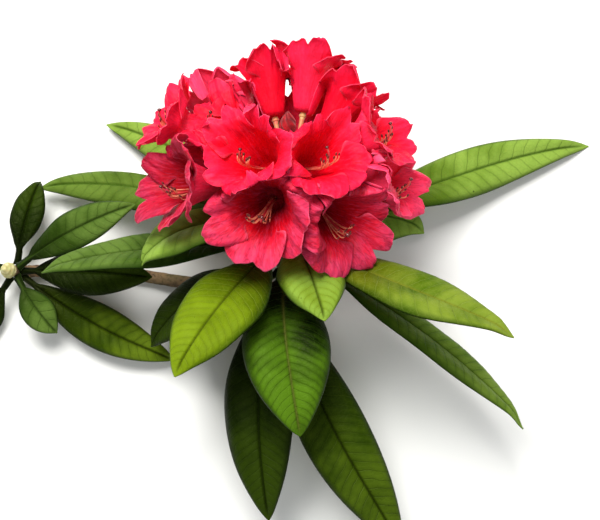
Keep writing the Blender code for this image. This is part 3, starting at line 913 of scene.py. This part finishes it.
def lobe_grid(flower, lobe, wall, sinus, rng):
    """A lobe's lengths along the wall, angles, lifts off the wall, and places to its rim and across."""
    length, radius, _ = wall
    xi = np.linspace(-1.0, 1.0, LOBE_COLUMNS + 1)[None, :]
    eta = np.linspace(0.0, 1.0, LOBE_ROWS + 1)[1:, None]
    aside = np.abs(xi)
    size = rng.uniform(*LOBE_SIZES) * SHORT_LOBES.get(flower.name, {}).get(lobe, 1.0)
    dip = np.clip(1.0 - aside / LOBE_CREST, 0.0, 1.0) ** 1.5
    notch = LOBE_NOTCH * rng.uniform(*NOTCH_DEPTHS) * dip
    beside = np.clip((aside - LOBE_CREST) / (1.0 - LOBE_CREST), 0.0, 1.0)
    shoulder = 1.0 - np.sqrt(1.0 - 0.96 * beside**2.2)
    lopside = 0.06 * rng.uniform(-1, 1) * xi + 0.010 * np.sin(19 * xi + rng.uniform(0, 6))
    tip = (length[-1] - sinus) * size * (1.0 - LOBE_SHOULDER * shoulder - notch + lopside)
    y = sinus + eta * tip

    foot_half = pi * np.interp(sinus, length, radius) / LOBES
    grow = smooth(0.0, 0.55, eta) * (1.0 - 0.12 * smooth(0.6, 1.0, eta))
    x = xi * (foot_half + (LOBE_HALF_WIDTH * bell_scale(flower) - foot_half) * grow) + 0.0 * y
    turn = x / np.interp(y, length, radius)

    open_share = smooth(0.0, 0.7, eta)
    furrow = -FURROW_DEPTH * np.exp(-((aside / FURROW_WIDTH) ** 1.4)) * open_share
    cheeks = CHEEK_HEIGHT * np.sin(pi * aside) * open_share
    sides = -SIDE_DROP * aside**3 * smooth(0.1, 0.9, eta)
    lap = SIDE_LAP * xi * smooth(0.03, 0.4, eta)
    curl = rng.uniform(*CURLS) * eta**3
    lean = rng.uniform(*LEANS) * (y - sinus)
    waves = rng.integers(2, 5)
    ruffle = RUFFLE_HEIGHT * eta**2 * np.sin(pi * waves * xi + rng.uniform(0, 6)) * (0.4 + 0.6 * aside)
    crinkle = 0.0
    for span in CRINKLES:
        ripples = np.sin(x * 2 * pi / span + rng.uniform(0, 6) + rng.uniform(-4, 4) * eta)
        crinkle = crinkle + CRINKLE_SHARE * span * ripples
    crinkle = crinkle * smooth(0.1, 0.7, eta)
    flute = -FLUTE * np.cos(LOBES * turn) * (1.0 - smooth(0.0, 0.4, eta))
    lift = furrow + cheeks + sides + lap + curl + lean + ruffle + crinkle + flute
    return y, 2 * pi * lobe / LOBES + turn, lift, eta + 0.0 * x, xi + 0.0 * y


def corolla_faces():
    """Faces of a bell's tube and of the lobes that grow from its brim."""
    columns = LOBES * LOBE_COLUMNS
    tube_index = np.arange((TUBE_ROWS + 1) * columns).reshape(TUBE_ROWS + 1, columns)
    faces = [grid_faces(closed_columns(tube_index))]
    for lobe in range(LOBES):
        start = tube_index.size + lobe * LOBE_ROWS * (LOBE_COLUMNS + 1)
        new = np.arange(LOBE_ROWS * (LOBE_COLUMNS + 1)).reshape(LOBE_ROWS, -1) + start
        foot = tube_index[-1][(np.arange(LOBE_COLUMNS + 1) + lobe * LOBE_COLUMNS) % columns]
        faces.append(grid_faces(np.vstack([foot, new])))
    return np.vstack(faces)[:, ::-1].tolist()


def make_corolla(flower, materials, seed):
    """A bell of five broad, notched, overlapping lobes with furrows and ruffled edges."""
    rng = np.random.default_rng(seed)
    wall = length, radius, depth = bell_wall(flower)
    sinus = np.interp(SINUS_RADIUS * bell_scale(flower), radius, length)
    columns = LOBES * LOBE_COLUMNS
    y = np.linspace(0.0, sinus, TUBE_ROWS + 1)[:, None] + np.zeros(columns)
    angle = (np.arange(columns) - LOBE_COLUMNS / 2) * 2 * pi / columns + 0.0 * y
    flute = -FLUTE * np.cos(LOBES * angle) * smooth(5.0, 16.0, y)
    parts = [(y, angle, flute, 0.0 * y, 0.0 * y)]
    parts += [lobe_grid(flower, lobe, wall, sinus, rng) for lobe in range(LOBES)]

    forward, upper, side = flower_axes(flower)
    turned = radians(LOBE_TURNS.get(flower.name, 0.0))
    table = (radius, depth, np.gradient(radius, length), np.gradient(depth, length))
    points = []
    for y, angle, lift, _, _ in parts:
        r, z, slope_r, slope_z = (np.interp(y, length, column)[..., None] for column in table)
        across = circle(upper, side, angle + turned)
        inward = unit(forward * slope_r - across * slope_z)
        part = TRUSS + forward * (flower.reach + z) + across * r + inward * lift[..., None]
        points.append(part.reshape(-1, 3))
    points = above_floor(into_cell(flower, np.vstack(points)))

    batch = Batch()
    batch.add(points, corolla_faces(), **{
        key: np.concatenate([part[place].ravel() for part in parts])
        for key, place in (("length", 0), ("angle", 1), ("rim", 3), ("over", 4))
    })
    made = batch.piece(flower.name + "_corolla", materials, "petal", [flower.name])
    shell = made.modifiers.new("thickness", "SOLIDIFY")
    shell.thickness = PETAL_THICKNESS * MM
    shell.offset = -1.0
    shell.material_offset = 1
    shell.material_offset_rim = 1


# Pale pink for the lobes' edges: a painted highlight where light catches and shines through the thin
# margin
PETAL_EDGE_HIGHLIGHT = (250, 110, 140)
PETAL_RELIEF = 0.0008


def petal_material(name, look, seed, inner):
    """Velvety crimson, rosier towards the rim and darker in the throat, with branching veins, painted
    sheen streaks, a painted highlight along the lobe edges, and on the inner side a darker upper throat
    that is partly the dorsal flare and partly painted shade.
    """
    made = Look(
        name, 0.5, Subsurface_Weight=0.15, Subsurface_Scale=0.002, Subsurface_Radius=(1.0, 0.1, 0.15),
        Sheen_Weight=0.04, Sheen_Roughness=0.4, Sheen_Tint=colour(255, 90, 140),
        Specular_IOR_Level=0.10,
    )
    along, turn, edge = made.value("length"), made.value("angle"), made.value("rim")
    place = made.place(made.times(turn, 10.0), made.times(along, 0.10), 11.0 * seed)
    rays = made.noise(place, 1.1, 2.0, 0.6, 0.5)
    vein = made.remap(made.apart(rays, 0.5), 0.0, 0.06, look.veins, 0.0)
    patch = made.noise(made.position(), 110.0, 3.0, 0.6)
    rim = made.times(made.remap(edge, 0.0, 0.9), made.remap(patch, 0.35, 0.65, 0.35, 1.2))
    if inner:
        # Darker on the upper side of the throat: the upper lobe's dark flare, and painted shade where
        # that wall faces away from the light
        facing = made.remap(made.math("COSINE", turn), 0.2, 1.0, 0.0, 0.75)
        dorsal_flare_and_shade = made.times(facing, made.remap(along, 18.0, 40.0, 1.0, 0.0))
        throat = made.remap(along, 8.0, 24.0, 1.0, 0.0)
        base = made.coats(look.base, (rim, look.rim), (throat, look.throat), (dorsal_flare_and_shade, look.throat))
    else:
        base = made.mix(rim, look.back, look.rim)
        vein = made.times(vein, 0.5)
    margin = made.math("MAXIMUM", edge, made.math("ABSOLUTE", made.value("over")))
    base = made.coats(
        base,
        (made.remap(patch, 0.50, 0.66, 0.0, 0.35), look.vein),
        (vein, look.vein),
        # Pink streaks along the veins: painted sheen on the crinkles
        (made.remap(made.noise(place, 1.5, 3.0, 0.6), 0.5, 0.75, 0.0, 0.34), look.glow),
        # Painted highlight along the lobe edges
        (made.remap(margin, 0.95, 1.0, 0.0, 0.35), PETAL_EDGE_HIGHLIGHT),
    )
    fine = made.times(made.noise(made.position(), 1100.0, 3.0, 0.6), 0.25)
    made.bump(made.plus(made.plus(made.times(rays, 0.5), fine), patch), PETAL_RELIEF, 0.8)
    return made.finish(base, made.remap(patch, 0.3, 0.7, 0.42, 0.6))


def tube(batch, route, radii, sides, **values):
    """Add a round tube along a route, with both ends closed."""
    route = np.asarray(route, float)
    forward = unit(np.gradient(route, axis=0))
    turns = round_turn(sides)
    frames = ring_axes(forward, away_from(forward[0]))
    rings = [
        point + radius * circle(first, second, turns)
        for point, radius, (first, second) in zip(route, np.broadcast_to(radii, len(route)), frames)
    ]
    along = np.repeat(np.linspace(0.0, 1.0, len(route)), sides)
    batch.add(np.vstack(rings), closed_tube(len(route), sides), along=along, **values)


def bezier(points, count):
    """Points along the Bezier curve of four handles."""
    t = np.linspace(0.0, 1.0, count)[:, None]
    a, b, c, d = (np.asarray(point, float) for point in points)
    return a * (1 - t) ** 3 + 3 * b * t * (1 - t) ** 2 + 3 * c * t**2 * (1 - t) + d * t**3


def ball(batch, middle, long_axis, half_length, radius, sides=8, rows=6, **values):
    """Add a closed egg of the given half length and radius."""
    long_axis = unit(long_axis)
    first = unit(np.cross(long_axis, away_from(long_axis)))
    across = circle(first, np.cross(long_axis, first), round_turn(sides))
    tilts = np.linspace(0.0, pi, rows + 1)
    tilts[0] = 0.12
    tilts[-1] = pi - 0.12
    rings = [middle - long_axis * half_length * cos(tilt) + radius * sin(tilt) * across for tilt in tilts]
    batch.add(np.vstack(rings), closed_tube(rows + 1, sides), **values)


def make_inner_parts():
    """Stamens and styles of all the flowers, each kind joined, with their stalks and calyces."""
    filaments, anthers, styles, stigmas, stalks = (Batch() for _ in range(5))
    for count, flower in enumerate(FLOWERS):
        rng = np.random.default_rng(STAMEN_SEED + count)
        forward, upper, side = flower_axes(flower)

        def local(ahead, above, beside):
            """A place by its distances from the middle of the flower's mouth."""
            return TRUSS + forward * (flower.reach + ahead) + upper * above + side * beside

        for k in range(STAMENS):
            spread = (k - 4.5) * 1.1 + rng.uniform(-0.9, 0.9)
            ends = rng.uniform(-10.0, -3.5)
            lift = rng.uniform(-2.5, 1.0)
            handles = (
                local(STAMEN_FOOT, rng.uniform(-1, 1), rng.uniform(-1, 1)),
                local(-17.0, -4.0 + rng.uniform(-1, 1), 0.3 * spread),
                local(-2.0 + ends, -9.5 + 0.3 * lift, 0.9 * spread),
                local(1.5 + ends, -4.0 + lift, spread),
            )
            route = bezier(handles, len(FILAMENT_RADII))
            tube(filaments, route, FILAMENT_RADII, 6)
            facing = unit(route[-1] - route[-2])
            aside = unit(np.cross(facing, upper + 0.3 * side))
            for half in (-ANTHER_ASIDE, ANTHER_ASIDE):
                middle = route[-1] + facing * 0.6 + aside * half
                ball(anthers, middle, facing, ANTHER_LENGTH, ANTHER_RADIUS)
        handles = (
            local(STAMEN_FOOT, 0.0, 0.0), local(-15.0, -5.0, 0.5),
            local(-4.0, -9.0, rng.uniform(-2, 2)),
            local(0.0, -1.0 + rng.uniform(-2, 1), rng.uniform(-4, 4)),
        )
        route = bezier(handles, len(STYLE_RADII))
        tube(styles, route, STYLE_RADII, 8)
        facing = unit(route[-1] - route[-2])
        ball(stigmas, route[-1] + facing * 0.35, facing, STIGMA_LENGTH, STIGMA_RADIUS, 12)

        foot = TRUSS + forward * (TRUSS_AXIS_RADIUS - 0.3) / sin(radians(flower.tilt))
        neck = local(STALK_NECK, 0.0, 0.0)
        middle = 0.5 * (foot + neck)
        handles = (foot, foot + 0.35 * (neck - foot), middle + 0.15 * (neck - foot), neck)
        tube(stalks, bezier(handles, len(STALK_RADII)), STALK_RADII, 10)
        ball(stalks, local(CALYX_DEPTH, 0.0, 0.0), forward, CALYX_LENGTH, CALYX_RADIUS, 10, along=1.0)
    filaments.piece("filaments", [filament_material()], "petal")
    anthers.piece("anthers", [anther_material()], "flower_bud")
    styles.piece("styles", [style_material()], "petal")
    stigmas.piece("stigmas", [stigma_material()], "flower_bud")
    stalks.piece("flower_stalks", [stalk_material()], "truss_stalk")


def thread_material(name, roughness, span, foot, tip, grain, speck):
    """A thread's two colours, from its foot to its tip over a span of its length, with specks."""
    made = Look(name, roughness, Subsurface_Weight=0.1, Subsurface_Scale=0.001)
    base = made.mix(made.remap(made.value("along"), *span), foot, tip)
    specks = made.remap(made.noise(made.position(), grain), 0.35, 0.65, 0.0, 0.3)
    return made.finish(made.mix(specks, base, speck))


def filament_material():
    """Pinkish tan, redder towards the foot."""
    colours = (176, 18, 32), (222, 128, 98)
    return thread_material("filament_pink", 0.4, (0.2, 0.9), *colours, 700.0, (240, 190, 150))


def style_material():
    """Red, paler towards the tip."""
    colours = (176, 24, 40), (214, 70, 72)
    return thread_material("style_pink", 0.38, (0.3, 1.0), *colours, 500.0, (150, 20, 36))


def anther_material():
    """Maroon with brown grains."""
    made = Look("anther_maroon", 0.55)
    made.bumped(2600.0, 3.0, 0.00015)
    return made.finish(made.grained(2600.0, (66, 14, 16), (130, 52, 40), low=0.4))


def stigma_material():
    """Dark red and glossy."""
    made = Look("stigma_dark", 0.25)
    made.bumped(1800.0, 2.0, 0.0001)
    return made.finish(made.grained(1800.0, (60, 6, 12), (110, 18, 22), 2.0))


def stalk_material():
    """Tan flushed with red, slightly downy."""
    made = Look("stalk_green", 0.5, Sheen_Weight=0.3, Sheen_Roughness=0.5)
    made.bumped(2200.0, 2.0, 0.0001)
    return made.finish(made.grained(300.0, (190, 150, 92), (196, 78, 62)))


def make_flowers():
    """All the corollas, their inner parts and stalks."""
    for count, flower in enumerate(FLOWERS):
        materials = [
            petal_material(flower.name + "_petal_" + side, flower.look, count + 1, side == "inner")
            for side in ("inner", "outer")
        ]
        make_corolla(flower, materials, COROLLA_SEED + count)
    make_inner_parts()


# Wood and buds

BARK_ROW = 0.7
CUT_RINGS = [0.85, 0.6, 0.35, 0.15]
STEM_SCARS = (9, 14, 19, 25, 31, 36, 42, 47)
TWIG_SCARS = (18, 27, 33, 52, 71, 78, 96, 118, 124, 131)
BUD_ROWS = 48
BUD_SIDES = 64


def stem_route():
    """The stem's middle line from its cut end on the surface to its top under the truss."""
    turn_start = WHORL - AXIS * STEM_STRAIGHT
    drop = turn_start[2] - STEM_END_RADIUS
    bend_radius = drop / (1.0 - cos(LEAN))
    turn_end = turn_start[1] - bend_radius * sin(LEAN)
    route = [(WHORL[0], turn_end - STEM_ON_FLOOR, STEM_END_RADIUS)]
    for k in range(STEM_BENDS + 1):
        turn = LEAN * k / STEM_BENDS
        y = turn_end + bend_radius * sin(turn)
        route.append((WHORL[0], y, STEM_END_RADIUS + bend_radius * (1.0 - cos(turn))))
    return np.array(route + [tuple(WHORL + AXIS * STEM_TOP)])


def twig_route():
    """The twig's middle line from the stem's left side to the side shoot."""
    start = stem_route()[TWIG_START] - RIGHT * (STEM_END_RADIUS - 1.5)
    bends = [np.array(bend) + (WHORL[0], WHORL[1], 0.0) for bend in TWIG_ROUTE]
    shoot = side_ring()
    foot = shoot.middle - shoot.axis * TWIG_UPRIGHT
    return np.array([start, *bends, foot, shoot.middle + shoot.axis * 0.5])


def even_route(route, spacing):
    """Points at even steps on a smooth curve through a route."""
    dense = curve_at(route, np.linspace(0.0, 1.0, 800))
    length = running_length(dense)
    count = int(length[-1] / spacing) + 1
    at = np.linspace(0.0, length[-1], count)
    return np.stack([np.interp(at, length, dense[:, k]) for k in range(3)], axis=-1), at


def bark_relief(along, turn, radius, rng, scars):
    """Ridges along the stem, fine cracks, and leaf scars at given places."""
    relief = 0.0
    for _ in range(7):
        lobes = rng.integers(4, 15)
        pitch = rng.uniform(9.0, 30.0)
        relief = relief + 0.07 * np.sin(lobes * turn + 2 * pi * along / pitch + rng.uniform(0, 6))
    relief = relief - 0.12 * np.maximum(np.sin(9 * turn + 0.6 * np.sin(along / 3.0)), 0.6)
    for at, around in scars:
        across = radius * np.angle(np.exp(1j * (turn - around)))
        bump = np.exp(-(((along - at) / 1.6) ** 2) - (across / 2.0) ** 2)
        pit = np.exp(-(((along - at - 0.5) / 0.7) ** 2) - (across / 1.1) ** 2)
        relief = relief + 0.55 * bump - 0.5 * pit
    return relief


def make_bark(name, route, radii, sides, node, scars, seed, cut):
    """A mesh of a stem's bark with its relief, and flat wood at the ends."""
    rng = np.random.default_rng(seed)
    points, along = even_route(route, BARK_ROW)
    forward = unit(np.gradient(points, axis=0))
    if cut:
        forward[0] = (0.0, 1.0, 0.0)
    radius = np.interp(along, np.linspace(0.0, along[-1], len(radii)), radii)
    turns = round_turn(sides)
    relief = bark_relief(along[:, None], turns[None, :], radius[:, None], rng, scars)
    rows = [
        point + circle(first, second, turns) * (thick + bumps)[:, None]
        for point, (first, second), thick, bumps in zip(points, ring_axes(forward, UP), radius, relief)
    ]
    start = [points[0] + (rows[0] - points[0]) * share for share in CUT_RINGS[::-1]]
    end = [points[-1] + (rows[-1] - points[-1]) * share for share in CUT_RINGS]
    whole = np.stack(start + rows + end)
    wood = np.concatenate([CUT_RINGS[::-1], np.full(len(rows), 2.0), CUT_RINGS])
    batch = Batch()
    batch.add(whole, closed_tube(len(whole), sides), wood=np.repeat(wood, sides))
    batch.piece(name, [bark_material(name + "_bark")], "bark", [node])


def bark_material(name):
    """Grey-brown bark with darker cracks; pale ringed wood where it is cut."""
    made = Look(name, 0.8)
    place = made.position()
    crack = made.noise(place, 420.0, 4.0, 0.65)
    inside = made.value("wood")
    ringed = made.remap(made.math("SINE", made.times(inside, 38.0)), -1.0, 1.0)
    base = made.coats(
        made.grained(60.0, (104, 78, 54), (142, 112, 78)),
        (made.remap(crack, 0.38, 0.52, 0.8, 0.0), (58, 40, 28)),
        (made.remap(made.noise(place, 35.0), 0.52, 0.7, 0.0, 0.4), (112, 116, 60)),
        (made.remap(inside, 0.9, 1.3, 1.0, 0.0), made.mix(ringed, (196, 176, 120), (168, 144, 92))),
    )
    made.bump(crack, 0.0005, 0.8)
    return made.finish(base, made.remap(made.noise(place, 60.0, 3.0), 0.3, 0.7, 0.7, 0.9))


def make_wood():
    """The stem, the side twig and the axis that carries the flowers."""
    rng = np.random.default_rng(SCAR_SEED)
    scars = [(at, rng.uniform(0, 2 * pi)) for at in STEM_SCARS]
    radii = [STEM_END_RADIUS] * 6 + [STEM_RADIUS] * 4
    make_bark("stem_bark", stem_route(), radii, 48, "stem", scars, STEM_SEED, True)
    scars = [(at, rng.uniform(0, 2 * pi)) for at in TWIG_SCARS]
    radii = [TWIG_RADIUS, TWIG_TIP_RADIUS]
    make_bark("twig_bark", twig_route(), radii, 30, "side_twig", scars, TWIG_SEED, False)
    axis = Batch()
    foot = WHORL + AXIS * (STEM_TOP - 1.0)
    top = WHORL + AXIS * TRUSS_AXIS_TOP
    route = [foot + (top - foot) * share for share in np.linspace(0.0, 1.0, 24)]
    radii = TRUSS_AXIS_RADIUS - 0.3 + 0.3 * np.sin(np.linspace(0.0, 22.0, 24))
    tube(axis, route, radii, 28)
    axis.piece("truss_axis_green", [stalk_material()], "truss_stalk", ["truss_axis"])


def make_egg(name, base, axis, length, radius, fold, material, slot, node, stalk=0.0):
    """A bud: an egg whose surface is folded by a rule of turn and height, on a stalk if it has one."""
    t = np.linspace(0.015, 0.995, BUD_ROWS)[:, None]
    turns = round_turn(BUD_SIDES)[None, :]
    folds = fold(t, turns)
    wide = radius * np.sin(pi * t**0.8) ** 0.75 * (1.0 - 0.25 * t) * (1.0 + folds)
    first = unit(np.cross(axis, RIGHT))
    around = circle(first, np.cross(axis, first), turns)
    lift = (stalk + length * t + 0.0 * turns)[..., None]
    points = base + axis * lift + around * wide[..., None]
    batch = Batch()
    # Grooves of the folds, which the bud materials darken as painted shade
    crease = np.clip(-folds * 6.0, 0.0, 1.0)
    along = (t + 0.0 * turns).ravel()
    batch.add(points, closed_tube(BUD_ROWS, BUD_SIDES), along=along, crease=crease.ravel())
    if stalk:
        route = [base - axis * 0.8 + axis * (stalk + 1.6) * share for share in np.linspace(0, 1, 12)]
        tube(batch, route, np.linspace(1.3, 1.1, 12), 10, crease=0.0)
    batch.piece(name, [material], slot, [node])


def make_buds():
    """The folded flower bud on the truss and the scaly leaf bud of the side shoot."""

    def petal_folds(t, turns):
        """Five petals twisted round each other."""
        twist = turns + 2.2 * t
        return 0.13 * np.abs(np.cos(2.5 * twist)) - 0.10 + 0.03 * np.sin(7 * twist + 5 * t)

    base = WHORL + AXIS * (TRUSS_AXIS_TOP + GAP)
    stalk = TRUSS_HEIGHT + BUD_REACH - BUD_LENGTH - TRUSS_AXIS_TOP - GAP
    look = Look("bud_crimson", 0.5, Sheen_Weight=0.2)
    look.bumped(400.0, 3.0, 0.0002)
    foot = look.remap(look.value("along"), 0.0, 0.15, 0.6, 0.0)
    red = look.grained(400.0, (176, 8, 26), (120, 4, 18))
    # The near-black red in the creases between the folded petals is painted shade; the tan foot is the
    # bud's own colour
    red = look.coats(red, (look.value("crease"), (70, 0, 10)), (foot, (200, 150, 110)))
    material = look.finish(red)
    size = BUD_LENGTH, BUD_RADIUS
    make_egg("bud_folded", base, AXIS, *size, petal_folds, material, "flower_bud", "truss_bud", stalk)

    def scales(t, turns):
        """Rows of scales that overlap upwards."""
        step = (t * 5.0 + turns / (2 * pi) * 2.0) % 1.0
        petal = 0.5 + 0.5 * np.cos(5 * turns + 2 * pi * np.floor(t * 5.0) * 0.4)
        return 0.12 * (1.0 - step) * (0.5 + 0.5 * petal) - 0.08

    shoot = side_ring()
    look = Look("bud_cream", 0.6, Subsurface_Weight=0.1, Subsurface_Scale=0.001)
    look.bumped(500.0, 3.0, 0.0002)
    cream = look.grained(500.0, (206, 200, 150), (176, 172, 104))
    # Darker in the step where each row of scales meets the next: painted shade under the overlapping
    # scale
    material = look.finish(look.mix(look.value("crease"), cream, (140, 116, 66)))
    base = shoot.middle + shoot.axis * (GAP - 0.6)
    size = SIDE_BUD_LENGTH, SIDE_BUD_RADIUS
    make_egg("bud_scaly", base, shoot.axis, *size, scales, material, "leaf_bud", "side_bud")


# Camera, light and floor

CAMERA_HEIGHT = radians(80.0)
CAMERA_DISTANCE = 900.0
FOCAL_PIXELS = 1800.0
PICTURE = (600, 520)
WHORL_PIXEL = (288, 242)
SENSOR = 36.0
FLOOR_REACH = 6.0
LIT_POINT = (0.0, 0.0, 0.05)


def make_camera():
    """The photograph's view: from above and slightly in front, with the whorl at its pixel."""
    data = bpy.data.cameras.new("camera")
    data.sensor_width = SENSOR
    data.lens = SENSOR * FOCAL_PIXELS / PICTURE[0]
    data.shift_x = (PICTURE[0] / 2 - WHORL_PIXEL[0]) / PICTURE[0]
    data.shift_y = (WHORL_PIXEL[1] - PICTURE[1] / 2) / PICTURE[0]
    data.clip_end = 20.0
    camera = bpy.data.objects.new("camera", data)
    back = np.array((0.0, -cos(CAMERA_HEIGHT), sin(CAMERA_HEIGHT)))
    camera.location = ((WHORL + back * CAMERA_DISTANCE) * MM).tolist()
    camera.rotation_euler = (pi / 2 - CAMERA_HEIGHT, 0.0, 0.0)
    bpy.context.scene.collection.objects.link(camera)
    bpy.context.scene.camera = camera


def make_light(name, place, target, size, energy, tint):
    """A soft square light that faces a target; lengths in metres."""
    data = bpy.data.lights.new(name, "AREA")
    data.shape = "SQUARE"
    data.size = size
    data.energy = energy
    data.color = tint
    light = bpy.data.objects.new(name, data)
    light.location = place
    light.rotation_euler = (Vector(place) - Vector(target)).to_track_quat("Z", "Y").to_euler()
    bpy.context.scene.collection.objects.link(light)


def make_surroundings():
    """A plain pale floor and soft studio light, strongest from the flowers' upper side."""
    scene = bpy.context.scene
    scene.view_settings.view_transform = "Standard"
    world = bpy.data.worlds.new("studio")
    world.use_nodes = True
    background = world.node_tree.nodes["Background"].inputs
    background["Color"].default_value = (0.96, 0.98, 1.0, 1.0)
    background["Strength"].default_value = 0.32
    scene.world = world
    make_light("key", (-0.25, 0.60, 1.10), LIT_POINT, 0.70, 27.0, (1.0, 0.99, 0.96))
    make_light("fill", (0.4, -0.7, 1.0), LIT_POINT, 0.9, 4.0, (0.97, 0.99, 1.0))

    mesh = bpy.data.meshes.new("floor")
    reach = FLOOR_REACH
    corners = [(-reach, -reach, 0.0), (reach, -reach, 0.0), (reach, reach, 0.0), (-reach, reach, 0.0)]
    mesh.from_pydata(corners, [], [(0, 1, 2, 3)])
    floor = bpy.data.objects.new("floor", mesh)
    scene.collection.objects.link(floor)
    look = Look("floor_pale", 0.9)
    mesh.materials.append(look.finish(look.grained(3.0, (236, 236, 234), (242, 242, 240), 2.0, 0.3, 0.7)))


make_camera()
make_surroundings()
make_wood()
make_leaves()
make_flowers()
make_buds()
